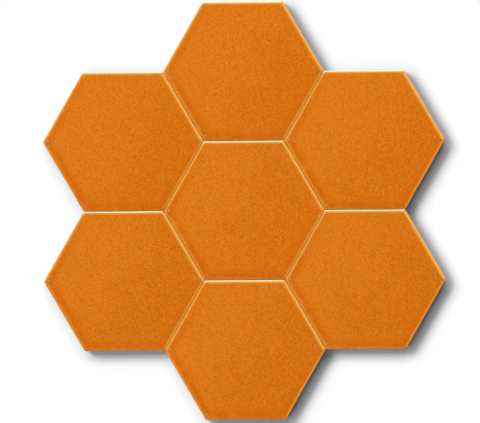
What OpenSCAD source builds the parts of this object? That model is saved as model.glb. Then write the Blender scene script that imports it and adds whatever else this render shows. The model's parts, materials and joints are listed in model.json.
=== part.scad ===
// Rosette of hexagonal glazed wall tiles, laid edge to edge round one centre tile.
// Every tile is a pressed clay body with a glaze coat fired over its face and rim.
// Millimetres. +Z points out of the glazed faces and +Y towards the north tile.
// The origin lies on the bedding plane, under the middle of the centre tile.

/* [Layout] */
// Distance between the middles of two neighbouring tiles
tile_pitch = 101.6; // [75:0.1:155]
// Open hairline joint between the glazed rims of two neighbours
joint_gap = 0.2; // [0.1:0.1:3]

/* [Clay body] */
// Thickness of the clay, from the bedding plane to the flat of its face
clay_t = 7.4; // [6.5:0.1:12]
// Radius of the upright corners of the clay
clay_corner_r = 0.6; // [0.3:0.1:3]
// Width of the cushioned border, where the face rolls down to the rim
cushion_w = 3; // [1.5:0.1:8]
// Fall of the clay face across the cushioned border
cushion_drop = 0.6; // [0.3:0.05:1.2]
// Radius of the rim of the clay, under the glaze
clay_rim_r = 0.3; // [0.2:0.05:0.6]
// Bare upright strip of clay between the glaze line and the drafted side
land_reveal = 0.6; // [0.2:0.1:1.2]
// Inward slope of the side below the upright strip, in degrees
side_draft = 2; // [0.5:0.5:6]
// Chamfer round the foot of the side
foot_chamfer = 0.6; // [0.2:0.1:1.2]

/* [Glaze coat] */
// Thickness of the glaze over the flat of the face
glaze_t = 0.6; // [0.4:0.05:1]
// Thickness of the glaze where it thins over the rim
glaze_rim_t = 0.3; // [0.2:0.05:0.4]
// Thickness of the glaze on the side of the tile
glaze_side_t = 0.25; // [0.2:0.05:0.5]
// Radius of the glazed rim
glaze_rim_r = 0.4; // [0.2:0.05:0.8]
// Depth of the glazed band on the side, below the rim of the clay
glaze_skirt = 2; // [1.2:0.1:2.2]
// Height over which the glazed band thins out towards its lower line
glaze_taper = 0.4; // [0.2:0.05:0.6]
// Thickness of the glaze at its lower line
glaze_line_t = 0.12; // [0.08:0.02:0.18]

/* [Back keys] */
// Spacing of the keying grooves pressed into the back
groove_pitch = 9; // [6.5:0.5:16]
// Width of a groove at the bedding plane
groove_w = 5; // [2:0.5:6]
// Depth of a groove
groove_depth = 1; // [0.4:0.1:2]
// Inward slope of the groove walls, in degrees
groove_draft = 20; // [5:1:25]
// Plain border between the grooves and the foot of the side
back_border = 7; // [4:0.5:15]

/* [Hidden] */
$fn = 96;

// Every tile of the rosette: its name, its ring and the bearing of its middle
PLACES = [
    ["centre", 0, 0],
    ["north", 1, 90],
    ["north_east", 1, 30],
    ["south_east", 1, -30],
    ["south", 1, -90],
    ["south_west", 1, -150],
    ["north_west", 1, 150]
];

function clay_node(place) = str("clay_body_", place[0]);
function glaze_node(place) = str("glaze_coat_", place[0]);

clay_colour = [0.81, 0.62, 0.50];
glaze_colour = [0.85, 0.46, 0.09];

// Half widths across the flats
tile_half = (tile_pitch - joint_gap) / 2;
clay_half = tile_half - glaze_side_t;
line_half = clay_half + glaze_line_t;

// Heights above the bedding plane
face_z = clay_t + glaze_t;
clay_rim_z = clay_t - cushion_drop;
skirt_z = clay_rim_z - glaze_skirt;
land_z = skirt_z - land_reveal;

// The glaze falls further than the clay does, because it thins over the rim
glaze_drop = cushion_drop + glaze_t - glaze_rim_t;

// Rows of grooves on each side of the rib along the middle of the back
back_half = side_half(0) - back_border;
groove_rows = floor((back_half - groove_w / 2) / groove_pitch + 1 / 2);
groove_floor_w = groove_w - 2 * groove_depth * tan(groove_draft);

slab_length = 4 * tile_half;
cut_margin = 1;

// A rounding arc crosses its two neighbours by this much, so that no sliver is left between them
round_cross = 0.02;

// Unit vector on a bearing
function bearing(angle) = [cos(angle), sin(angle)];

// Half width of the drafted side of the clay at a height below its upright strip
function side_half(z) = clay_half - (land_z - z) * tan(side_draft);

// Radius of the arc that leaves the flat of a face and falls by drop at the rim
function cushion_r(drop) = (pow(cushion_w, 2) + pow(drop, 2)) / (2 * drop);

// What lies outside the cushioned border of a section with its rim at half
module cushion_waste(half, top, drop) {
    arc_r = cushion_r(drop);
    difference() {
        translate([half - cushion_w, top - drop])
            square([cushion_w + cut_margin, drop + cut_margin]);
        translate([half - cushion_w, top - arc_r])
            circle(r = arc_r);
    }
}

// What lies outside a rounded edge, between two directions from the middle of its arc
module round_waste(middle, round_r, one_way, other_way) {
    one = 3 * round_r * one_way;
    other = 3 * round_r * other_way;
    difference() {
        polygon([middle, middle + one, middle + one + other, middle + other]);
        translate(middle)
            circle(r = round_r + round_cross);
    }
}

// What lies outside the rounded rim, between the cushion arc and the side
module rim_waste(half, top, drop, rim_r) {
    arc_r = cushion_r(drop);
    arc_middle = [half - cushion_w, top - arc_r];
    rise = sqrt(pow(arc_r - rim_r, 2) - pow(cushion_w - rim_r, 2));
    rim_middle = [half - rim_r, arc_middle.y + rise];
    round_waste(rim_middle, rim_r, [1, 0], (rim_middle - arc_middle) / (arc_r - rim_r));
}

// Section across two flats: side points from the bottom up, then the cushioned top
module tile_section(side, top, drop, rim_r) {
    half = side[len(side) - 1].x;
    right = concat(side, [[half, top]]);
    left = [for (i = [len(right) - 1:-1:0]) [-right[i].x, right[i].y]];
    difference() {
        polygon(concat(right, left));
        for (turn = [0, 1]) {
            mirror([turn, 0]) {
                cushion_waste(half, top, drop);
                rim_waste(half, top, drop, rim_r);
            }
        }
    }
}

// What lies outside the rounded upright corners of a tile with flats to the north and south
module corner_waste(half, corner_r) {
    for (corner = [0:60:300]) {
        middle = (half - corner_r) / cos(30) * bearing(corner);
        round_waste(middle, corner_r, bearing(corner - 30), bearing(corner + 30));
    }
}

// Solid with the same section across each of its three pairs of flats
module hexagonal_solid(half, corner_r, top) {
    difference() {
        intersection_for(turn = [0, 60, 120]) {
            rotate(turn)
                rotate([90, 0, 90])
                    linear_extrude(height = slab_length, center = true)
                        children();
        }
        translate([0, 0, -cut_margin])
            linear_extrude(height = top + 2 * cut_margin)
                corner_waste(half, corner_r);
    }
}

// The clay as pressed, before its back is keyed
module clay_blank() {
    side = [
        [side_half(0) - foot_chamfer, 0],
        [side_half(foot_chamfer), foot_chamfer],
        [clay_half, land_z],
        [clay_half, clay_rim_z]
    ];
    hexagonal_solid(clay_half, clay_corner_r, clay_t)
        tile_section(side, clay_t, cushion_drop, clay_rim_r);
}

// Parallel keying grooves with sloping walls, kept inside the plain border
module back_grooves() {
    slope = (groove_w - groove_floor_w) / (2 * groove_depth);
    mouth_half = groove_w / 2 + cut_margin * slope;
    intersection() {
        for (row = [0:groove_rows - 1], turn = [-1, 1]) {
            translate([0, turn * (row + 1 / 2) * groove_pitch, 0])
                rotate([90, 0, 90])
                    linear_extrude(height = slab_length, center = true)
                        polygon([
                            [-mouth_half, -cut_margin],
                            [mouth_half, -cut_margin],
                            [groove_floor_w / 2, groove_depth],
                            [-groove_floor_w / 2, groove_depth]
                        ]);
        }
        translate([0, 0, -2 * cut_margin])
            linear_extrude(height = groove_depth + 3 * cut_margin)
                circle(r = back_half / cos(30), $fn = 6);
    }
}

module clay_body() {
    difference() {
        clay_blank();
        back_grooves();
    }
}

module glaze_coat() {
    side = [
        [line_half, skirt_z],
        [tile_half, skirt_z + glaze_taper],
        [tile_half, face_z - glaze_drop]
    ];
    difference() {
        hexagonal_solid(tile_half, clay_corner_r + glaze_side_t, face_z)
            tile_section(side, face_z, glaze_drop, glaze_rim_r);
        clay_blank();
    }
}

module at_place(place) {
    translate(place[1] * tile_pitch * bearing(place[2]))
        children();
}

for (place = PLACES) {
    at_place(place) color(clay_colour) clay_body();
    at_place(place) color(glaze_colour) glaze_coat();
}
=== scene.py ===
"""Dresses a rosette of hexagonal wall tiles: seven fired clay bodies, each under a glossy orange glaze."""
import json
import math

import bpy
from bpy.props import FloatProperty, FloatVectorProperty, IntProperty, PointerProperty
from mathutils import Euler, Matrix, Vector

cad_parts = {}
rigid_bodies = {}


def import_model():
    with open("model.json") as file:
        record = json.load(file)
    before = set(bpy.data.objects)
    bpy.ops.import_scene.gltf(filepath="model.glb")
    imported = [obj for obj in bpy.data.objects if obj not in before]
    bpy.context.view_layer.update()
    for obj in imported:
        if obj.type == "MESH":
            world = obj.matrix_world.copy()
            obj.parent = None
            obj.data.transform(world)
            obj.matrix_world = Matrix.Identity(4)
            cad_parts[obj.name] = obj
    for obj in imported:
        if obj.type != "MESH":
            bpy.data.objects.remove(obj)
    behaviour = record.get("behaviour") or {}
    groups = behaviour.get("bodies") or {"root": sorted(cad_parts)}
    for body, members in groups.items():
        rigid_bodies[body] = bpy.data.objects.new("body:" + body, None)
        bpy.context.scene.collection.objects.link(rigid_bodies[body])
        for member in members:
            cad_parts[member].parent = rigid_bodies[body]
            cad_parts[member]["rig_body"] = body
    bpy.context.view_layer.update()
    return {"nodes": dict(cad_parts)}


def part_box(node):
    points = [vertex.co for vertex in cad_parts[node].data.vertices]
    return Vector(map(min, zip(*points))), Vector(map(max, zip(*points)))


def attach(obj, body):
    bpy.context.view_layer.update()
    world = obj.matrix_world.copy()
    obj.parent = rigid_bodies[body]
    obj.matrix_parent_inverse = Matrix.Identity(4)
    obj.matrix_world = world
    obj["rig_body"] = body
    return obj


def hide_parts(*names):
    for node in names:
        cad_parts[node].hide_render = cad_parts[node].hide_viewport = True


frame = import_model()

bl_info = {
    "name": "Glazed Tile Rosette",
    "version": (1, 0, 0),
    "blender": (4, 5, 0),
    "location": "3D View > Sidebar > Tiles",
    "description": "Builds glazed hexagonal wall tiles over their clay bodies, in a pale studio",
    "category": "Object",
}

MM = 0.001
SIDES = 6
SIDE_TURN = math.radians(360 / SIDES)
HALF_TURN = SIDE_TURN / 2
PICTURE_WIDTH = 480
PICTURE_HEIGHT = 423

GLAZE_LOW, GLAZE_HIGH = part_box("glaze_coat_centre")
CLAY_LOW, CLAY_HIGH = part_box("clay_body_centre")
TILE_NAMES = sorted(
    name.removeprefix("glaze_coat_") for name in frame["nodes"] if name.startswith("glaze_coat_")
)
TILE_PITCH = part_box("glaze_coat_north")[1].y - GLAZE_HIGH.y


def srgb(red, green, blue):
    """A colour in screen values from 0 to 255, as the scene-linear colour that Blender works in."""
    def linear(value):
        value /= 255
        return value / 12.92 if value <= 0.04045 else ((value + 0.055) / 1.055) ** 2.4
    return tuple(linear(value) for value in (red, green, blue))


def size_prop(name, description, default):
    return FloatProperty(name=name, description=description, default=default, unit="LENGTH", precision=5)


def angle_prop(name, description, degrees):
    return FloatProperty(
        name=name, description=description, default=math.radians(degrees), subtype="ANGLE"
    )


def colour_prop(name, description, default):
    return FloatVectorProperty(
        name=name, description=description, default=default, subtype="COLOR", min=0, max=1
    )


class TileForm(bpy.types.PropertyGroup):
    """Sizes of a tile's clay and glaze."""
    width: size_prop("Width", "Glazed tile from flat to flat", GLAZE_HIGH.y - GLAZE_LOW.y)
    clay_width: size_prop("Clay width", "Clay body from flat to flat", CLAY_HIGH.y - CLAY_LOW.y)
    face_height: size_prop("Face height", "Flat of the glaze above the bedding plane", GLAZE_HIGH.z)
    clay_height: size_prop("Clay height", "Flat of the clay above the bedding plane", CLAY_HIGH.z)
    line_height: size_prop("Glaze line", "Lower line of the glaze on the side", GLAZE_LOW.z)
    cushion_width: size_prop("Cushion width", "Border where the face rolls down to the rim", 3 * MM)
    glaze_fall: size_prop("Glaze fall", "Fall of the glaze across the cushion", 0.9 * MM)
    clay_fall: size_prop("Clay fall", "Fall of the clay across the cushion", 0.6 * MM)
    glaze_rim: size_prop("Glaze rim radius", "Roundness of the glazed rim", 0.4 * MM)
    clay_rim: size_prop("Clay rim radius", "Roundness of the clay rim", 0.3 * MM)
    clay_corner: size_prop("Corner radius", "Roundness of the clay's upright corners", 0.6 * MM)
    clay_land: size_prop("Land", "Upright strip of clay below its rim, above the draft", 2.6 * MM)
    clay_draft: angle_prop("Draft", "Inward slope of the clay side", 2)
    foot_radius: size_prop("Foot radius", "Roundness of the clay's foot", 0.6 * MM)
    groove_pitch: size_prop("Groove pitch", "Spacing of the keying grooves in the back", 9 * MM)
    groove_width: size_prop("Groove width", "Width of a keying groove at its mouth", 5 * MM)
    groove_depth: size_prop("Groove depth", "Depth of a keying groove", 1 * MM)
    groove_draft: angle_prop("Groove draft", "Slope of the groove walls", 20)
    groove_rows: IntProperty(name="Groove rows", description="Number of keying grooves", default=10, min=1)
    back_border: size_prop("Back border", "Plain border round the keying grooves", 7 * MM)


class GlazeLook(bpy.types.PropertyGroup):
    """Colours and flow of the glaze, with the painted highlight and painted shade of its rims."""
    light_side: colour_prop("Light side", "Glaze on the left of the face", srgb(226, 124, 21))
    deep_side: colour_prop("Deep side", "Glaze on the right of the face", srgb(215, 112, 9))
    light_grain: colour_prop("Light grain", "Pale grains of the mottled glaze", srgb(224, 146, 54))
    dark_grain: colour_prop("Dark grain", "Deep grains of the mottled glaze", srgb(209, 88, 0))
    pooled: colour_prop("Pooled", "Thick glaze that gathered inside the rim", srgb(214, 101, 8))
    # Thin glaze over the rim; how much each side gets, most on the sides that face the light, is a painted
    # highlight
    thin: colour_prop("Thin", "Glaze that runs thin over the rim", srgb(253, 178, 70))
    # Painted highlight: a pale cream on the north rims that stands in for the light they catch
    painted_highlight: colour_prop("Painted highlight", "Glaze that breaks pale on the upper rim", srgb(255, 248, 200))
    # Painted shade: a dark brown on the lower rims that stands in for their shade
    painted_shade: colour_prop("Painted shade", "Glaze that hangs thick on the lower rim", srgb(120, 62, 14))
    bare: colour_prop("Bare spot", "Clay that shows through a pinhole", srgb(232, 172, 138))
    speck: colour_prop("Speck", "Kiln dust caught in the glaze", srgb(120, 92, 70))
    wave_height: size_prop("Wave height", "Height of the slow waves in the face", 0.06 * MM)
    wave_length: size_prop("Wave length", "Distance between the slow waves", 28 * MM)
    line_wander: size_prop("Line wander", "How far the lower line of the glaze strays", 1.2 * MM)


class ClayLook(bpy.types.PropertyGroup):
    """Colours of the fired clay."""
    body: colour_prop("Body", "Fired clay", srgb(206, 158, 128))
    light_grain: colour_prop("Light grain", "Pale grog in the clay", srgb(228, 190, 162))
    dark_grain: colour_prop("Dark grain", "Iron-stained grog in the clay", srgb(168, 112, 84))


class StudioLook(bpy.types.PropertyGroup):
    """Camera and floor."""
    floor: colour_prop("Floor", "Pale studio floor", (0.9, 0.9, 0.9))
    lens: FloatProperty(name="Lens", description="Focal length", default=400, unit="CAMERA")
    sensor: FloatProperty(name="Sensor", description="Width of the sensor", default=36, unit="CAMERA")
    pitch_pixels: FloatProperty(
        name="Tile pitch", description="Spacing of the tiles in the picture", default=139.4, subtype="PIXEL"
    )
    middle_pixel: FloatVectorProperty(
        name="Middle", description="Pixel of the picture that shows the middle of the centre tile",
        default=(244.3, 210.5), size=2, subtype="XYZ",
    )
    roll: angle_prop("Roll", "Turn of the rosette in the picture", 0.41)


def plug(tree, slot, value):
    """Joins a field or a socket to an input, or sets the input's own value."""
    if isinstance(value, Field):
        value = value.socket
    if isinstance(value, bpy.types.NodeSocket):
        tree.links.new(value, slot)
    else:
        slot.default_value = value


def calculate(tree, operation, *values):
    """The result of a math node on fields and plain numbers."""
    node = tree.nodes.new("ShaderNodeMath")
    node.operation = operation
    for slot, value in zip(node.inputs, values):
        plug(tree, slot, value)
    return Field(tree, node.outputs[0])


class Field:
    """A value in a node tree, with arithmetic that adds the matching math nodes."""

    def __init__(self, tree, socket):
        self.tree = tree
        self.socket = socket

    def math(self, operation, *others):
        return calculate(self.tree, operation, self, *others)

    def __add__(self, other):
        return self.math("ADD", other)

    def __sub__(self, other):
        return self.math("SUBTRACT", other)

    def __rsub__(self, other):
        return calculate(self.tree, "SUBTRACT", other, self)

    def __mul__(self, other):
        return self.math("MULTIPLY", other)

    def __truediv__(self, other):
        return self.math("DIVIDE", other)

    def __rtruediv__(self, other):
        return calculate(self.tree, "DIVIDE", other, self)

    __radd__ = __add__

    def sine(self):
        return self.math("SINE")

    def cosine(self):
        return self.math("COSINE")

    def tangent(self):
        return self.math("TANGENT")

    def root(self):
        return self.math("SQRT")

    def size(self):
        return self.math("ABSOLUTE")

    def at_least(self, other):
        return self.math("MAXIMUM", other)

    def at_most(self, other):
        return self.math("MINIMUM", other)

    def below(self, other):
        return self.math("LESS_THAN", other)

    def swing(self):
        """Noise that lies about 0.5, as a swing to both sides of 0."""
        return self - 0.5

    def ramp(self, start, end, kind="LINEAR"):
        """0 up to start, 1 from end on, and a straight or smooth way between."""
        node = self.tree.nodes.new("ShaderNodeMapRange")
        node.interpolation_type = kind
        for slot, value in zip(node.inputs, (self, start, end, 0, 1)):
            plug(self.tree, slot, value)
        return Field(self.tree, node.outputs[0])

    def smooth(self, start, end):
        return self.ramp(start, end, "SMOOTHSTEP")

    def band(self, start, rise, fall, end):
        """1 from rise to fall, and smooth ways up from start and down to end."""
        return self.smooth(start, rise) * (1 - self.smooth(fall, end))


# Places of the sockets that a Mix node uses for colours
MIX_FIRST, MIX_SECOND, MIX_RESULT = 6, 7, 2


class Maker:
    """Adds nodes to one tree."""

    def __init__(self, tree):
        self.tree = tree

    def add(self, kind, values=None, **settings):
        """A new node with these settings, and with these values at its inputs."""
        node = self.tree.nodes.new(kind)
        for name, value in settings.items():
            setattr(node, name, value)
        for key, value in (values or {}).items():
            plug(self.tree, node.inputs[key], value)
        return node

    def field(self, kind, values=None, **settings):
        return Field(self.tree, self.add(kind, values, **settings).outputs[0])

    def parts(self, vector):
        """The three parts of a vector or a colour, as fields."""
        node = self.add("ShaderNodeSeparateXYZ", {0: vector})
        return [Field(self.tree, socket) for socket in node.outputs]

    def vector(self, x, y, z):
        return self.add("ShaderNodeCombineXYZ", {0: x, 1: y, 2: z}).outputs[0]

    def total(self, first, second):
        return self.add("ShaderNodeVectorMath", {0: first, 1: second}, operation="ADD").outputs[0]

    def noise(self, place, grain, detail=2.0, roughness=0.5):
        """Smooth noise from 0 to 1 whose grains are about so far apart."""
        values = {"Vector": place, "Scale": 1 / grain, "Detail": detail, "Roughness": roughness}
        return self.field("ShaderNodeTexNoise", values)

    def mix(self, amount, first, second):
        """The first colour, with so much of the second in it."""
        node = self.add("ShaderNodeMix", {0: amount}, data_type="RGBA")
        for place, colour in ((MIX_FIRST, first), (MIX_SECOND, second)):
            if not isinstance(colour, bpy.types.NodeSocket):
                colour = (*colour, 1)
            plug(self.tree, node.inputs[place], colour)
        return node.outputs[MIX_RESULT]

    def join(self, *pieces):
        node = self.add("GeometryNodeJoinGeometry")
        for piece in pieces:
            self.tree.links.new(piece, node.inputs[0])
        return node.outputs[0]

    def result(self, kind, values=None, **settings):
        return self.add(kind, values, **settings).outputs[0]


def new_group(name, kind, inputs, outputs):
    """A new node group with its sockets: its maker, its inputs as fields, and its output node."""
    tree = bpy.data.node_groups.new(name, kind)
    for direction, sockets in (("INPUT", inputs), ("OUTPUT", outputs)):
        for label, socket in sockets.items():
            tree.interface.new_socket(label, in_out=direction, socket_type=f"NodeSocket{socket}")
    source = tree.nodes.new("NodeGroupInput")
    fields = {label: Field(tree, source.outputs[label]) for label in inputs}
    return Maker(tree), fields, tree.nodes.new("NodeGroupOutput")


# Rings of faces in each part of the border, the rings where its parts end, and all the rings of a tile
CUSHION_RINGS = 9
RIM_RINGS = 6
SIDE_RINGS = 4
FOOT_RINGS = 3
RIM_END = CUSHION_RINGS + RIM_RINGS
SIDE_END = RIM_END + SIDE_RINGS
BORDER_RINGS = SIDE_END + FOOT_RINGS
GLAZE_RINGS = 64
CLAY_RINGS = 52
# How much points gather towards the corners, and the power by which that grows from the middle outwards
CORNER_GATHER = 0.8
GATHER_POWER = 4
# The glaze line strays with a noise that is read on a circle round the tile
WANDER_GRAIN = 11 * MM
WANDER_REACH = 50 * MM
WANDER_DETAIL = 3.0
# Points closer than this become one: in a lattice of apothem 1, and in a finished tile
LATTICE_WELD = 0.0001
TILE_WELD = 0.002 * MM
# Edges that bend by more than this stay sharp, and faces whose normal is this far down stay flat
SHARP_BEND = math.radians(35)
FACING_DOWN = -0.99
# Attributes of a skin that the glaze reads: distance in from the rim, fall below the face, place on the tile
RIM_INSET = "rim_inset"
RIM_DROP = "rim_drop"
TILE_PLACE = "tile_place"


def hexagon_lattice(make, rings):
    """A hexagon of apothem 1 in quads: three rhombi round the middle, whose lines run in rings."""
    corner = 1 / math.cos(HALF_TURN)
    lines = rings + 1
    grid = make.result(
        "GeometryNodeMeshGrid", {"Size X": 1.0, "Size Y": 1.0, "Vertices X": lines, "Vertices Y": lines}
    )
    x, y, _ = make.parts(make.result("GeometryNodeInputPosition"))
    across = (x + 0.5) * corner
    along = (y + 0.5) * corner
    slanted = make.vector(across - along * math.cos(SIDE_TURN), along * math.sin(SIDE_TURN), 0.0)
    rhombus = make.result("GeometryNodeSetPosition", {"Geometry": grid, "Position": slanted})
    rhombi = []
    for step in range(3):
        turn = Euler((0, 0, 2 * SIDE_TURN * step))
        rhombi.append(make.result("GeometryNodeTransform", {"Geometry": rhombus, "Rotation": turn}))
    hexagon = make.join(*rhombi)
    return make.result("GeometryNodeMergeByDistance", {"Geometry": hexagon, "Distance": LATTICE_WELD})


SKIN_NAME = "Cushioned Tile Skin"
SKIN_SIZES = (
    "Half Width", "Corner Radius", "Face Height", "Cushion Width", "Cushion Fall", "Rim Radius",
    "Bottom Height", "Land", "Draft", "Foot Inset", "Foot Height", "Line Wander",
)


def skin_tree():
    """A sheet over one tile: flat face, cushioned border, rounded rim, side and foot."""
    group = bpy.data.node_groups.get(SKIN_NAME)
    if group:
        return group
    make, size, out = new_group(
        SKIN_NAME, "GeometryNodeTree",
        {"Centre": "Vector", "Rings": "Int", **{name: "Float" for name in SKIN_SIZES}},
        {"Skin": "Geometry"},
    )
    half = size["Half Width"]
    rings = size["Rings"]
    lattice = hexagon_lattice(make, rings)

    # Each lattice point lies on a ring, at a bearing that is counted from the nearest flat
    x, y, _ = make.parts(make.result("GeometryNodeInputPosition"))
    bearing = y.math("ARCTAN2", x)
    from_flat = bearing.math("FLOORED_MODULO", SIDE_TURN) - HALF_TURN
    reach = (x * x + y * y).root() * from_flat.cosine()
    ring = reach * rings - (rings - BORDER_RINGS)

    # Points on the outer rings gather towards the corners, so that the corners come out round
    along = from_flat.tangent() / math.tan(HALF_TURN)
    gather = reach.math("POWER", GATHER_POWER) * (CORNER_GATHER / math.pi)
    along = along + gather * (along * math.pi).sine()
    turned = (along * math.tan(HALF_TURN)).math("ARCTANGENT")
    heading = bearing - from_flat + turned

    # Section of the border: cushion arc, rim arc, side with its draft, and foot
    width, fall, rim = size["Cushion Width"], size["Cushion Fall"], size["Rim Radius"]
    arc = (width * width + fall * fall) / (fall * 2)
    arc_end = ((width - rim) / (arc - rim)).math("ARCSINE")
    cushion_tilt = ring.ramp(0, CUSHION_RINGS) * arc_end
    tilt = cushion_tilt + ring.ramp(CUSHION_RINGS, RIM_END) * (math.pi / 2 - arc_end)
    foot_tilt = ring.ramp(SIDE_END, BORDER_RINGS) * (math.pi / 2)
    rim_fall = arc - (arc - rim) * arc_end.cosine()
    line_place = make.vector(heading.cosine() * WANDER_REACH, heading.sine() * WANDER_REACH, 0.0)
    stray = make.noise(make.total(line_place, size["Centre"].socket), WANDER_GRAIN, WANDER_DETAIL).swing()
    bottom = size["Bottom Height"] + stray * size["Line Wander"]
    side = size["Face Height"] - rim_fall - bottom - size["Foot Height"]
    depth = side * ring.ramp(RIM_END, SIDE_END)
    out_reach = (arc - rim) * cushion_tilt.sine() + rim * tilt.sine()
    out_reach = out_reach - (depth - size["Land"]).at_least(0) * size["Draft"].tangent()
    out_reach = out_reach - size["Foot Inset"] * (1 - foot_tilt.cosine())
    drop = arc - (arc - rim) * cushion_tilt.cosine() - rim * tilt.cosine()
    drop = drop + depth + size["Foot Height"] * foot_tilt.sine()
    apothem = (half - width) * (reach * rings / (rings - BORDER_RINGS)).at_most(1) + out_reach

    # Plan of each ring: the rounded hexagon of the rim, offset inwards
    inset = half - apothem
    corner = (size["Corner Radius"] - inset).at_least(0)
    corner_middle = (apothem - corner) / math.cos(HALF_TURN)
    off_corner = HALF_TURN - turned.size()
    corner_rise = corner * math.sin(HALF_TURN)
    corner_end = corner_rise.math("ARCTAN2", corner_middle + corner * math.cos(HALF_TURN))
    across = corner_middle * off_corner.sine()
    bulge = (corner * corner - across * across).at_least(0).root()
    on_corner = corner_middle * off_corner.cosine() + bulge
    on_flat = apothem / turned.cosine()
    away = on_flat + (on_corner - on_flat) * off_corner.below(corner_end)
    place = make.vector(away * heading.cosine(), away * heading.sine(), size["Face Height"] - drop)

    sheet = lattice
    for name, kind, value in (
        (RIM_INSET, "FLOAT", inset), (RIM_DROP, "FLOAT", drop), (TILE_PLACE, "FLOAT_VECTOR", place)
    ):
        values = {"Geometry": sheet, "Name": name, "Value": value}
        sheet = make.result("GeometryNodeStoreNamedAttribute", values, data_type=kind)
    sheet = make.result("GeometryNodeSetPosition", {"Geometry": sheet, "Position": place})
    make.tree.links.new(sheet, out.inputs["Skin"])
    return make.tree


def finish_tree(make, geometry, size, out):
    """Moves the geometry to the middle of its tile, makes it real and gives it its finish."""
    placed = make.result("GeometryNodeTransform", {"Geometry": geometry, "Translation": size["Centre"]})
    real = make.result("GeometryNodeRealizeInstances", {"Geometry": placed})
    dressed = make.result("GeometryNodeSetMaterial", {"Geometry": real, "Material": size["Finish"]})
    make.tree.links.new(dressed, out.inputs["Geometry"])
    return make.tree


def piece_group(name, sizes):
    """The group of one kind of piece, with its sizes, its tile's middle and its finish as inputs."""
    return new_group(
        name, "GeometryNodeTree",
        {"Centre": "Vector", **{label: "Float" for label in sizes}, "Finish": "Material"},
        {"Geometry": "Geometry"},
    )


def glaze_tree(skin):
    """A closed coat of glaze: the outer skin, and the clay's skin turned over, welded at the glaze line."""
    make, size, out = piece_group("Glaze Coat", (
        "Width", "Clay Width", "Face Height", "Clay Height", "Line Height", "Cushion Width", "Glaze Fall",
        "Clay Fall", "Glaze Rim", "Clay Rim", "Clay Corner", "Wave Height", "Wave Length", "Line Wander",
    ))
    side = (size["Width"] - size["Clay Width"]) / 2
    shared = {
        "Centre": size["Centre"], "Rings": GLAZE_RINGS, "Cushion Width": size["Cushion Width"],
        "Bottom Height": size["Line Height"], "Foot Height": side * 2, "Line Wander": size["Line Wander"],
    }
    outer = make.result("GeometryNodeGroup", {
        **shared, "Half Width": size["Width"] / 2, "Corner Radius": size["Clay Corner"] + side,
        "Face Height": size["Face Height"], "Cushion Fall": size["Glaze Fall"],
        "Rim Radius": size["Glaze Rim"], "Foot Inset": side,
    }, node_tree=skin)
    inner = make.result("GeometryNodeGroup", {
        **shared, "Half Width": size["Clay Width"] / 2, "Corner Radius": size["Clay Corner"],
        "Face Height": size["Clay Height"], "Cushion Fall": size["Clay Fall"],
        "Rim Radius": size["Clay Rim"],
    }, node_tree=skin)

    # The fired face isn't dead flat: slow waves lie in it, and die away at the rim
    here = make.result("GeometryNodeInputPosition")
    swell = make.noise(make.total(here, size["Centre"].socket), size["Wave Length"]).swing()
    inset = make.field("GeometryNodeInputNamedAttribute", {"Name": RIM_INSET}, data_type="FLOAT")
    lift = swell * size["Wave Height"] * inset.smooth(0, size["Cushion Width"] * 2)
    offset = make.vector(0.0, 0.0, lift)
    waved = make.result("GeometryNodeSetPosition", {"Geometry": outer, "Offset": offset})

    flipped = make.result("GeometryNodeFlipFaces", {"Mesh": inner})
    sheets = make.join(waved, flipped)
    coat = make.result("GeometryNodeMergeByDistance", {"Geometry": sheets, "Distance": TILE_WELD})
    return finish_tree(make, make.result("GeometryNodeSetShadeSmooth", {"Geometry": coat}), size, out)


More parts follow.
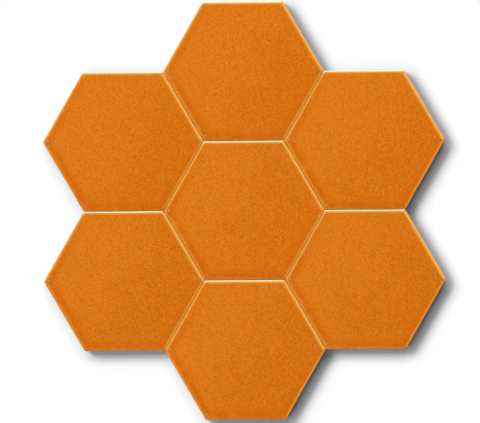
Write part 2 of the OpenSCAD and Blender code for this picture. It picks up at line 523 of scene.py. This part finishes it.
def clay_tree(skin):
    """A clay body: its skin, closed by a flat back with keying grooves cut into it."""
    make, size, out = piece_group("Clay Body", (
        "Clay Width", "Clay Height", "Cushion Width", "Clay Fall", "Clay Rim", "Clay Corner", "Clay Land",
        "Clay Draft", "Foot Radius", "Groove Pitch", "Groove Width", "Groove Depth", "Groove Draft",
        "Groove Rows", "Back Border",
    ))
    skin_mesh = make.result("GeometryNodeGroup", {
        "Centre": size["Centre"], "Rings": CLAY_RINGS, "Half Width": size["Clay Width"] / 2,
        "Corner Radius": size["Clay Corner"], "Face Height": size["Clay Height"],
        "Cushion Width": size["Cushion Width"], "Cushion Fall": size["Clay Fall"],
        "Rim Radius": size["Clay Rim"], "Land": size["Clay Land"], "Draft": size["Clay Draft"],
        "Foot Inset": size["Foot Radius"], "Foot Height": size["Foot Radius"],
    }, node_tree=skin)
    open_edge = make.field("GeometryNodeInputMeshEdgeNeighbors").below(2)
    foot_edge = make.result("GeometryNodeMeshToCurve", {"Mesh": skin_mesh, "Selection": open_edge})
    back = make.result("GeometryNodeFillCurve", {"Curve": foot_edge}, mode="NGONS")
    turned_back = make.result("GeometryNodeFlipFaces", {"Mesh": back})
    sheets = make.join(skin_mesh, turned_back)
    blank = make.result("GeometryNodeMergeByDistance", {"Geometry": sheets, "Distance": TILE_WELD})

    # A cutter bar runs the length of the back, with its mouth below the back so that it cuts clean
    proud = size["Groove Depth"]
    slope = size["Groove Draft"].tangent() * 2
    section = make.result("GeometryNodeCurvePrimitiveQuadrilateral", {
        "Height": size["Groove Depth"] + proud,
        "Bottom Width": size["Groove Width"] + slope * proud,
        "Top Width": size["Groove Width"] - slope * size["Groove Depth"], "Offset": 0.0,
    }, mode="TRAPEZOID")
    run = make.result("GeometryNodeCurvePrimitiveLine", {
        "Start": make.vector(size["Clay Width"] * -1, 0.0, 0.0),
        "End": make.vector(size["Clay Width"], 0.0, 0.0),
    })
    bar = make.result("GeometryNodeCurveToMesh", {
        "Curve": run, "Profile Curve": section, "Fill Caps": True,
    })
    first_row = (size["Groove Rows"] - 1) * size["Groove Pitch"] * -0.5
    rows = make.result("GeometryNodeMeshLine", {
        "Count": size["Groove Rows"], "Start Location": make.vector(0.0, first_row, 0.0),
        "Offset": make.vector(0.0, size["Groove Pitch"], 0.0),
    })
    bars = make.result("GeometryNodeInstanceOnPoints", {"Points": rows, "Instance": bar})
    cutters = make.result("GeometryNodeRealizeInstances", {"Geometry": bars})
    back_half = size["Clay Width"] / 2 - size["Back Border"]
    prism = make.result("GeometryNodeMeshCylinder", {
        "Vertices": SIDES, "Radius": back_half / math.cos(HALF_TURN), "Depth": size["Clay Height"],
    })
    grooves = make.add("GeometryNodeMeshBoolean", operation="INTERSECT", solver="MANIFOLD")
    for mesh in (cutters, prism):
        make.tree.links.new(mesh, grooves.inputs["Mesh 2"])
    cut = make.add("GeometryNodeMeshBoolean", {"Mesh 1": blank}, operation="DIFFERENCE", solver="MANIFOLD")
    make.tree.links.new(grooves.outputs[0], cut.inputs["Mesh 2"])

    rounded = make.result("GeometryNodeSetShadeSmooth", {"Geometry": cut.outputs[0]})
    bent = make.field("GeometryNodeInputMeshEdgeAngle").math("GREATER_THAN", SHARP_BEND)
    sharp = make.result("GeometryNodeSetShadeSmooth", {
        "Geometry": rounded, "Selection": bent, "Shade Smooth": False,
    }, domain="EDGE")
    up = make.parts(make.result("GeometryNodeInputNormal"))[2]
    flat = make.result("GeometryNodeSetShadeSmooth", {
        "Geometry": sharp, "Selection": up.below(FACING_DOWN), "Shade Smooth": False,
    }, domain="FACE")
    return finish_tree(make, flat, size, out)


def names_in(group):
    """The names of a property group's own properties."""
    return [name for name in group.bl_rna.properties.keys() if name not in ("rna_type", "name")]


def values_of(*groups):
    """Every property of the groups, by the label of the node socket that takes it."""
    return {
        name.replace("_", " ").title(): getattr(group, name)
        for group in groups
        for name in names_in(group)
    }


def grow(name, tree, values):
    """Runs a geometry tree on a new object and keeps the result as a plain mesh."""
    seed = bpy.data.meshes.new(name)
    piece = bpy.data.objects.new(name, seed)
    form = piece.modifiers.new("Form", "NODES")
    form.node_group = tree
    for item in tree.interface.items_tree:
        if item.in_out == "INPUT":
            form[item.identifier] = values[item.name]
    bpy.context.scene.collection.objects.link(piece)
    graph = bpy.context.evaluated_depsgraph_get()
    mesh = bpy.data.meshes.new_from_object(piece.evaluated_get(graph), depsgraph=graph)
    piece.modifiers.remove(form)
    piece.data = mesh
    bpy.data.meshes.remove(seed)
    mesh.name = name
    if not mesh.polygons:
        raise RuntimeError(f"{name} came out empty")
    return piece


def middle_of(node):
    """The middle of a node's tile, on the bedding plane."""
    low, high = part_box(node)
    return Vector(((low.x + high.x) / 2, (low.y + high.y) / 2, 0))


def new_material(name):
    """A new material, the maker of its nodes, and its shader."""
    material = bpy.data.materials.new(name)
    material.use_nodes = True
    make = Maker(material.node_tree)
    return material, make, material.node_tree.nodes["Principled BSDF"]


MOTTLE_NAME = "Kiln Mottle"
# Noises of the mottle: the size that each goes by, its grain against that size, detail and roughness
MOTTLES = {
    "Speckle": ("Grain", 1.0, 2.0, 0.55),
    "Blotch": ("Grain", 5.0, 2.0, 0.5),
    "Drift": ("Cloud", 1.0, 3.0, 0.5),
    "Grit": ("Grain", 0.4, 2.0, 0.6),
}
# The mottle is turned off the tile's own axes, so that none of its grain lines up with a side
MOTTLE_TURN = (0.6, 0.4, 0.9)


def kiln_mottle():
    """Shared by the glaze and the clay: fine grain, blotches, slow clouds and a grit for the relief."""
    group = bpy.data.node_groups.get(MOTTLE_NAME)
    if group:
        return group
    make, size, out = new_group(
        MOTTLE_NAME, "ShaderNodeTree",
        {"Place": "Vector", "Grain": "Float", "Cloud": "Float"},
        {label: "Float" for label in MOTTLES},
    )
    values = {"Vector": size["Place"], "Rotation": MOTTLE_TURN}
    place = make.result("ShaderNodeVectorRotate", values, rotation_type="EULER_XYZ")
    for label, (measure, share, detail, roughness) in MOTTLES.items():
        noise = make.noise(place, size[measure] * share, detail, roughness)
        make.tree.links.new(noise.socket, out.inputs[label])
    return make.tree


def use_mottle(make, place, grain, cloud):
    """The noises of the mottle at a place, for grains and clouds of these sizes."""
    values = {"Place": place, "Grain": grain, "Cloud": cloud}
    node = make.add("ShaderNodeGroup", values, node_tree=kiln_mottle())
    return [Field(make.tree, node.outputs[label]) for label in MOTTLES]


def add_relief(make, shader, strength, distance, height):
    """Tilts the shader's normal as if the surface had this height."""
    relief = make.add("ShaderNodeBump", {"Strength": strength, "Distance": distance, "Height": height})
    plug(make.tree, shader.inputs["Normal"], relief.outputs[0])


def read_attribute(make, name, output):
    """One output of a named attribute of the mesh."""
    return make.add("ShaderNodeAttribute", attribute_name=name, attribute_type="GEOMETRY").outputs[output]


# Faults in the glaze, in millimetres from the middle of the tile: place, length, width, turn, strength
PINHOLES = (
    ((-55.0, 0.7), 1.5, 1.3, 0, 0.75),
    ((-56.9, -0.4), 1.2, 1.0, 0, 0.45),
    ((-27.9, -46.7), 1.4, 1.2, 0, 0.6),
    ((-5.6, -49.9), 1.6, 0.9, 0, 0.9),
    ((19.3, 47.7), 1.0, 0.9, 0, 0.5),
    ((13.7, -38.2), 7.5, 0.5, 90, 0.3),
    ((51.0, 2.4), 4.6, 1.2, -70, 0.22),
)
SPECKS = (
    ((8.9, 45.6), 1.2, 1.0, 0, 0.7),
)
# A fault fades out between these shares of its half length and half width
FAULT_FADE = (0.3, 1.1)


def fault_mask(make, place, faults):
    """1 on the faults, fading out round them."""
    mask = None
    for (x, y), length, width, turn, strength in faults:
        node = make.add("ShaderNodeMapping", {
            "Vector": place, "Location": (x * MM, y * MM, 0.0), "Rotation": (0.0, 0.0, math.radians(turn)),
            "Scale": (length * MM / 2, width * MM / 2, 1.0),
        }, vector_type="TEXTURE")
        away = make.add("ShaderNodeVectorMath", {0: node.outputs[0]}, operation="LENGTH").outputs["Value"]
        spot = (1 - Field(make.tree, away).smooth(*FAULT_FADE)) * strength
        mask = spot if mask is None else mask.at_least(spot)
    return mask


GLAZE_GRAIN = 1.3 * MM
GLAZE_CLOUD = 24 * MM
# How the tone deepens across the face: the distance that counts as 1, shares of going east and south, of
# the slow clouds and of the blotches, and the sums that give the light side and the deep side
TONE_REACH = 50 * MM
TONE_EAST = 0.55
TONE_SOUTH = 0.3
TONE_CLOUDS = 0.8
TONE_BLOTCHES = 0.7
TONE_ENDS = (-0.5, 0.5)
# Levels of the fine grain between which it turns pale, and between which it stops being deep
PALE_GRAINS = (0.48, 0.92)
DEEP_GRAINS = (0.1, 0.5)
# Pooled glaze: its share at the middle and what going west and south adds, the band inside the rim that it
# fills, in millimetres, how far the blotches shift that band, and how they break it up
POOL_SHARE = 0.32
POOL_WEST = 0.2
POOL_SOUTH = 0.26
POOL_BAND = (1.8, 3.2, 3.8, 9.0)
POOL_SHIFT = 4
POOL_BLOTCHES = (0.25, 0.7)
POOL_LEAST = 0.5
# The rim, in millimetres: how far the clouds and the grain shift the thin glaze, where the thin glaze, the
# painted highlight and the painted shade fade out on the way in, and the fall below the face at which all
# three end
RAGGED_CLOUDS = 0.5
RAGGED_GRAINS = 0.4
THIN_START = 0.1
PAINTED_HIGHLIGHT_FADE = (0.4, 1.1)
PAINTED_SHADE_FADE = (0.1, 0.5)
FACE_END = (0.95, 1.4)
# Gloss: the least roughness, what grit and clouds each add at most, the index of refraction, and the orange
# peel of the surface with its share of the relief, the rest of which is grit
GLAZE_ROUGHNESS = 0.04
GLAZE_ROUGHENING = 0.03
GLAZE_IOR = 1.52
PEEL_GRAIN = 3 * MM
PEEL_SHARE = 0.7
GRIT_SHARE = 0.3
# Glaze at the rim of each side, by the side's bearing: share of thin glaze, set highest on the sides that
# face the light and so partly a painted highlight, how far in it reaches against the widest, and shares of
# painted highlight (pale cream) and painted shade (dark brown) on the very edge
WIDEST_THIN = 4.0
RIM_BY_SIDE = {
    "north east": (1.0, 0.82, 0.0, 0.0),
    "north": (0.95, 0.72, 1.0, 0.0),
    "north west": (0.85, 0.5, 0.0, 0.0),
    "south west": (0.5, 0.46, 0.0, 0.6),
    "south": (0.32, 0.4, 0.0, 0.6),
    "south east": (0.62, 0.55, 0.0, 0.3),
}


def by_side(make, turn, values):
    """Picks the four values of the side that a bearing, in turns, points to."""
    node = make.add("ShaderNodeValToRGB", {"Fac": turn})
    ramp = node.color_ramp
    ramp.interpolation = "CONSTANT"
    ramp.elements[1].position = 1 / len(values)
    for side in range(2, len(values)):
        ramp.elements.new(side / len(values))
    for element, value in zip(ramp.elements, values):
        element.color = value
    return [*make.parts(node.outputs["Color"]), Field(make.tree, node.outputs["Alpha"])]


def glaze_material(look):
    """Glossy orange glaze: mottled, pooled inside the rim, thin over it, with a few pinholes, and painted
    highlight and shade on the rims.
    """
    material, make, shader = new_material("Orange glaze")
    tree = make.tree
    place = make.add("ShaderNodeTexCoord").outputs["Object"]
    on_tile = read_attribute(make, TILE_PLACE, "Vector")
    east, north, _ = [part / TONE_REACH for part in make.parts(on_tile)]
    inset = Field(tree, read_attribute(make, RIM_INSET, "Fac")) / MM
    drop = Field(tree, read_attribute(make, RIM_DROP, "Fac")) / MM
    speckle, blotch, drift, grit = use_mottle(make, place, GLAZE_GRAIN, GLAZE_CLOUD)

    tone = east * TONE_EAST - north * TONE_SOUTH
    tone = tone + drift.swing() * TONE_CLOUDS + blotch.swing() * TONE_BLOTCHES
    colour = make.mix(tone.ramp(*TONE_ENDS), look.light_side, look.deep_side)
    colour = make.mix(speckle.ramp(*PALE_GRAINS), colour, look.light_grain)
    colour = make.mix(1 - speckle.ramp(*DEEP_GRAINS), colour, look.dark_grain)

    # Glaze gathers inside the rim, most of all along the lower left sides, and runs thin over the rim. The
    # rim also gets painted highlight on the sides that face the light and painted shade on the lower sides
    lower = (POOL_SHARE - east * POOL_WEST - north * POOL_SOUTH).at_least(0)
    gathered = (inset + blotch.swing() * POOL_SHIFT).band(*POOL_BAND)
    gathered = gathered * lower * (blotch.ramp(*POOL_BLOTCHES) + POOL_LEAST)
    turn = north.math("ARCTAN2", east).math("FLOORED_MODULO", math.tau) / math.tau
    thin_and_highlight_share, thin_and_highlight_reach, painted_highlight_share, painted_shade_share = by_side(make, turn, RIM_BY_SIDE.values())
    ragged = inset + drift.swing() * RAGGED_CLOUDS + speckle.swing() * RAGGED_GRAINS
    on_face = 1 - drop.smooth(*FACE_END)
    # Thin glaze over the rim, laid on most on the sides that face the light and least on the south, so
    # partly a painted highlight
    thin = (1 - ragged.smooth(THIN_START, thin_and_highlight_reach * WIDEST_THIN)) * on_face * thin_and_highlight_share
    # Painted highlight: pale cream on the very edge of the north rims
    painted_highlight = (1 - inset.smooth(*PAINTED_HIGHLIGHT_FADE)) * on_face * painted_highlight_share
    # Painted shade: dark brown on the very edge of the south and south-west rims, less on the south-east
    painted_shade = (1 - inset.smooth(*PAINTED_SHADE_FADE)) * on_face * painted_shade_share
    bare = fault_mask(make, on_tile, PINHOLES)
    speck = fault_mask(make, on_tile, SPECKS)
    for amount, over in (
        (gathered, look.pooled), (thin, look.thin), (painted_highlight, look.painted_highlight), (painted_shade, look.painted_shade),
        (bare, look.bare), (speck, look.speck),
    ):
        colour = make.mix(amount, colour, over)
    plug(tree, shader.inputs["Base Color"], colour)

    roughness = grit * GLAZE_ROUGHENING + drift * GLAZE_ROUGHENING + GLAZE_ROUGHNESS
    plug(tree, shader.inputs["Roughness"], roughness)
    shader.inputs["IOR"].default_value = GLAZE_IOR
    peel = make.noise(place, PEEL_GRAIN)
    height = peel * PEEL_SHARE + grit * GRIT_SHARE
    add_relief(make, shader, strength=0.1, distance=0.1 * MM, height=height)
    return material


CLAY_GRAIN = 1.6 * MM
CLAY_CLOUD = 30 * MM
# Levels of the fine grain between which pale grog sets in, and between which dark grog ends
PALE_GROG = (0.55, 0.75)
DARK_GROG = (0.25, 0.42)
# Levels between which the kiln's clouds and blotches darken the clay, and by how much
KILN_CLOUDS = (0.3, 0.8)
KILN_BLOTCHES = (0.4, 0.8)
CLOUD_SHARE = 0.25
BLOTCH_SHARE = 0.15
CLAY_ROUGHNESS = 0.78
CLAY_ROUGHENING = 0.2
CLAY_GRIT = 0.6
CLAY_GROG = 0.4


def clay_material(look):
    """Dry fired clay: grog, clouds from the kiln and a gritty relief."""
    material, make, shader = new_material("Fired clay")
    tree = make.tree
    place = make.add("ShaderNodeTexCoord").outputs["Object"]
    speckle, blotch, drift, grit = use_mottle(make, place, CLAY_GRAIN, CLAY_CLOUD)
    colour = make.mix(speckle.smooth(*PALE_GROG), look.body, look.light_grain)
    colour = make.mix(1 - speckle.smooth(*DARK_GROG), colour, look.dark_grain)
    fired = drift.ramp(*KILN_CLOUDS) * CLOUD_SHARE + blotch.ramp(*KILN_BLOTCHES) * BLOTCH_SHARE
    plug(tree, shader.inputs["Base Color"], make.mix(fired, colour, look.dark_grain))
    plug(tree, shader.inputs["Roughness"], CLAY_ROUGHNESS + grit * CLAY_ROUGHENING)
    shader.inputs["Specular IOR Level"].default_value = 0.3
    height = grit * CLAY_GRIT + speckle * CLAY_GROG
    add_relief(make, shader, strength=0.6, distance=0.25 * MM, height=height)
    return material


FLOOR_SIZE = 24.0
FLOOR_CLEARANCE = 0.05 * MM
# The floor's tone changes slowly between its own colour and this share of it
FLOOR_TONE = 0.985
FLOOR_TONE_GRAIN = 0.4
# An even light on all of the floor keeps the inner corners of the shadow open
FLOOR_GLOW = 0.028


def floor_material(look):
    """Pale matt studio board, clear from below so that the backs of the tiles can be seen."""
    material, make, shader = new_material("Studio floor")
    place = make.add("ShaderNodeTexCoord").outputs["Object"]
    tone = make.noise(place, FLOOR_TONE_GRAIN)
    darker = tuple(value * FLOOR_TONE for value in look.floor)
    plug(make.tree, shader.inputs["Base Color"], make.mix(tone, look.floor, darker))
    shader.inputs["Roughness"].default_value = 0.9
    shader.inputs["Specular IOR Level"].default_value = 0.1
    shader.inputs["Emission Color"].default_value = (1.0, 1.0, 1.0, 1.0)
    shader.inputs["Emission Strength"].default_value = FLOOR_GLOW
    from_below = make.add("ShaderNodeNewGeometry").outputs["Backfacing"]
    clear = make.result("ShaderNodeBsdfTransparent")
    sides = make.result("ShaderNodeMixShader", {0: from_below, 1: shader.outputs[0], 2: clear})
    plug(make.tree, make.tree.nodes["Material Output"].inputs["Surface"], sides)
    return material


class TILES_OT_clay_bodies(bpy.types.Operator):
    """Build the fired clay body of each tile"""
    bl_idname = "tiles.clay_bodies"
    bl_label = "Clay Bodies"

    def execute(self, context):
        scene = context.scene
        tree = clay_tree(skin_tree())
        finish = clay_material(scene.clay_look)
        for name in TILE_NAMES:
            node = f"clay_body_{name}"
            sizes = {**values_of(scene.tile_form), "Centre": middle_of(node), "Finish": finish}
            piece = grow(f"clay_{name}", tree, sizes)
            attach(piece, "root")
            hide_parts(node)
        return {"FINISHED"}


class TILES_OT_glaze_coats(bpy.types.Operator):
    """Build the coat of glaze on each tile"""
    bl_idname = "tiles.glaze_coats"
    bl_label = "Glaze Coats"

    def execute(self, context):
        scene = context.scene
        tree = glaze_tree(skin_tree())
        finish = glaze_material(scene.glaze_look)
        for name in TILE_NAMES:
            node = f"glaze_coat_{name}"
            sizes = values_of(scene.tile_form, scene.glaze_look)
            piece = grow(f"glaze_{name}", tree, {**sizes, "Centre": middle_of(node), "Finish": finish})
            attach(piece, "root")
            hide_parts(node)
        return {"FINISHED"}


WHITE = (1.0, 1.0, 1.0)
WARM = (1.0, 0.95, 0.85)
PALE_WARM = (1.0, 0.95, 0.9)
# Softboxes on the tiles: bearing and elevation in degrees, width and height in degrees as seen from the
# tiles, brightness with white as 1, and tint. Fill lights bring out the colour and don't show in the gloss;
# shine lights show only there.
FILL_LIGHTS = {
    "Key": (92, 75, 40, 24, 0.75, WHITE),
    "North": (90, 36, 40, 20, 3.5, WHITE),
    "South": (270, 14, 30, 18, 2.6, WHITE),
    "East": (5, 21, 30, 18, 11.4, WHITE),
    "North west": (150, 23, 30, 18, 10.8, WHITE),
    "South west": (240, 14, 30, 18, 6.4, WHITE),
}
SHINE_LIGHTS = {
    "Shine north": (90, 22, 50, 22, 0.15, WARM),
    "Shine north east": (30, 42, 30, 20, 0.45, WARM),
    "Shine north west": (150, 26, 30, 20, 0.25, WARM),
    "Shine south west": (210, 26, 30, 20, 0.25, PALE_WARM),
}
# Light from below, which the floor doesn't block, on the backs of the tiles
UNDER_LIGHT = (90, -89.9, 40, 40, 4.0, WHITE)
# Lights on the floor, which give the rosette its shadow: bearing, elevation and angle in degrees, strength
FLOOR_LIGHTS = {
    "Shadow north": (80, 37, 24, 0.68),
    "Shadow north north west": (115, 32, 24, 1.05),
    "Shadow north west": (148, 33.5, 27, 3.13),
    "Shadow west": (185, 37.5, 28, 0.63),
    "Shadow south west": (220, 38.5, 28, 0.41),
}
LIGHT_DISTANCE = 6.0
# Watts on each square metre of a softbox of brightness 1
SOFTBOX_POWER = 4
# Surround of the studio: as the gloss mirrors it at the horizon and overhead, the heights between which that
# changes, as it lights the colour, and as the camera sees it
HORIZON_SHINE = (0.3, 0.3, 0.3)
OVERHEAD_SHINE = (0.05, 0.05, 0.05)
SHINE_HEIGHTS = (0.05, 0.6)
SPREAD_LIGHT = (0.04, 0.04, 0.04)
BACKDROP = (0.9, 0.9, 0.91)
CAMERA_REACH = 100


def towards(bearing, elevation):
    """The direction of a bearing and an elevation in degrees."""
    bearing, elevation = math.radians(bearing), math.radians(elevation)
    level = math.cos(elevation)
    return Vector((level * math.cos(bearing), level * math.sin(bearing), math.sin(elevation)))


def add_light(name, kind, direction, receivers):
    """A light that looks at the middle of the rosette and lights only its receivers."""
    light = bpy.data.lights.new(name, kind)
    lamp = bpy.data.objects.new(name, light)
    bpy.context.scene.collection.objects.link(lamp)
    lamp.location = direction * LIGHT_DISTANCE
    lamp.rotation_euler = direction.to_track_quat("Z", "Y").to_euler()
    lamp.light_linking.receiver_collection = receivers
    return lamp


def add_softbox(name, settings, receivers):
    """A rectangular light with the settings of one of the tables."""
    bearing, elevation, width, height, brightness, tint = settings
    lamp = add_light(name, "AREA", towards(bearing, elevation), receivers)
    light = lamp.data
    light.shape = "RECTANGLE"
    light.size, light.size_y = (
        2 * LIGHT_DISTANCE * math.tan(math.radians(angle) / 2) for angle in (width, height)
    )
    light.energy = SOFTBOX_POWER * brightness * light.size * light.size_y
    light.color = tint
    return lamp


def add_fill(name, settings, receivers):
    """A softbox that doesn't show in the gloss, and is sampled only as a light."""
    lamp = add_softbox(name, settings, receivers)
    lamp.visible_glossy = False
    lamp.data.cycles.use_multiple_importance_sampling = False
    return lamp


def receiver_group(name, objects):
    """A collection of the objects that a light works on."""
    group = bpy.data.collections.new(name)
    for member in objects:
        group.objects.link(member)
    return group


def add_floor(look):
    """A square floor, a hair below the bedding plane."""
    half = FLOOR_SIZE / 2
    mesh = bpy.data.meshes.new("floor")
    level = -FLOOR_CLEARANCE
    corners = [(-half, -half, level), (half, -half, level), (half, half, level), (-half, half, level)]
    mesh.from_pydata(corners, [], [(0, 1, 2, 3)])
    mesh.materials.append(floor_material(look))
    floor = bpy.data.objects.new("floor", mesh)
    bpy.context.scene.collection.objects.link(floor)
    return floor


def dress_world(scene):
    """Pale towards the horizon, dim overhead, so that the glaze keeps its depth of colour from above."""
    world = bpy.data.worlds.new("Studio")
    scene.world = world
    world.use_nodes = True
    make = Maker(world.node_tree)
    direction = make.add("ShaderNodeTexCoord").outputs["Generated"]
    height = make.parts(direction)[2]
    mirrored = make.mix(height.smooth(*SHINE_HEIGHTS), HORIZON_SHINE, OVERHEAD_SHINE)
    ray = make.add("ShaderNodeLightPath")
    spread = make.mix(ray.outputs["Is Diffuse Ray"], mirrored, SPREAD_LIGHT)
    sky = make.mix(ray.outputs["Is Camera Ray"], spread, BACKDROP)
    plug(world.node_tree, world.node_tree.nodes["Background"].inputs["Color"], sky)


def add_camera(scene, look):
    """Straight above the rosette, as the picture has it."""
    scale = TILE_PITCH / look.pitch_pixels
    data = bpy.data.cameras.new("Camera")
    data.sensor_fit = "HORIZONTAL"
    data.sensor_width = look.sensor
    data.lens = look.lens
    camera = bpy.data.objects.new("Camera", data)
    scene.collection.objects.link(camera)
    across = (PICTURE_WIDTH / 2 - look.middle_pixel[0]) * scale
    along = (look.middle_pixel[1] - PICTURE_HEIGHT / 2) * scale
    turn = Euler((0, 0, -look.roll))
    camera.rotation_euler = turn
    height = PICTURE_WIDTH * scale * look.lens / look.sensor
    camera.location = turn.to_matrix() @ Vector((across, along, 0)) + Vector((0, 0, GLAZE_HIGH.z + height))
    data.clip_end = CAMERA_REACH
    scene.camera = camera


class TILES_OT_studio(bpy.types.Operator):
    """Set up the floor, the lights and the camera"""
    bl_idname = "tiles.studio"
    bl_label = "Studio"

    def execute(self, context):
        scene = context.scene
        look = scene.studio_look
        pieces = [piece for piece in scene.objects if piece.type == "MESH" and "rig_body" in piece]
        # The floor's own soft light passes the tiles by, so that no orange spills onto it
        for piece in pieces:
            piece.visible_diffuse = False
        on_floor = receiver_group("Lit by the floor lights", [add_floor(look)])
        on_tiles = receiver_group("Lit by the softboxes", pieces)
        for name, (bearing, elevation, angle, strength) in FLOOR_LIGHTS.items():
            sun = add_light(name, "SUN", towards(bearing, elevation), on_floor).data
            sun.angle = math.radians(angle)
            sun.energy = strength
            sun.cycles.use_multiple_importance_sampling = False
        for name, settings in FILL_LIGHTS.items():
            add_fill(name, settings, on_tiles)
        for name, settings in SHINE_LIGHTS.items():
            add_softbox(name, settings, on_tiles).visible_diffuse = False
        under = add_fill("Under", UNDER_LIGHT, on_tiles)
        under.light_linking.blocker_collection = on_tiles
        dress_world(scene)
        add_camera(scene, look)
        scene.view_settings.view_transform = "Standard"
        return {"FINISHED"}


class TILES_PT_rosette(bpy.types.Panel):
    """Pieces and sizes of the rosette"""
    bl_idname = "TILES_PT_rosette"
    bl_label = "Tile Rosette"
    bl_space_type = "VIEW_3D"
    bl_region_type = "UI"
    bl_category = "Tiles"

    def draw(self, context):
        for step in STEPS:
            self.layout.operator(step.bl_idname)
        for name in LOOKS:
            look = getattr(context.scene, name)
            column = self.layout.column()
            for prop in names_in(look):
                column.prop(look, prop)


LOOKS = {"tile_form": TileForm, "glaze_look": GlazeLook, "clay_look": ClayLook, "studio_look": StudioLook}
STEPS = (TILES_OT_clay_bodies, TILES_OT_glaze_coats, TILES_OT_studio)
CLASSES = (*LOOKS.values(), *STEPS, TILES_PT_rosette)


def register():
    for item in CLASSES:
        bpy.utils.register_class(item)
    for name, kind in LOOKS.items():
        setattr(bpy.types.Scene, name, PointerProperty(type=kind))


def unregister():
    for name in LOOKS:
        delattr(bpy.types.Scene, name)
    for item in reversed(CLASSES):
        bpy.utils.unregister_class(item)


def main():
    register()
    bpy.ops.tiles.clay_bodies()
    bpy.ops.tiles.glaze_coats()
    bpy.ops.tiles.studio()


if __name__ == "__main__":
    main()
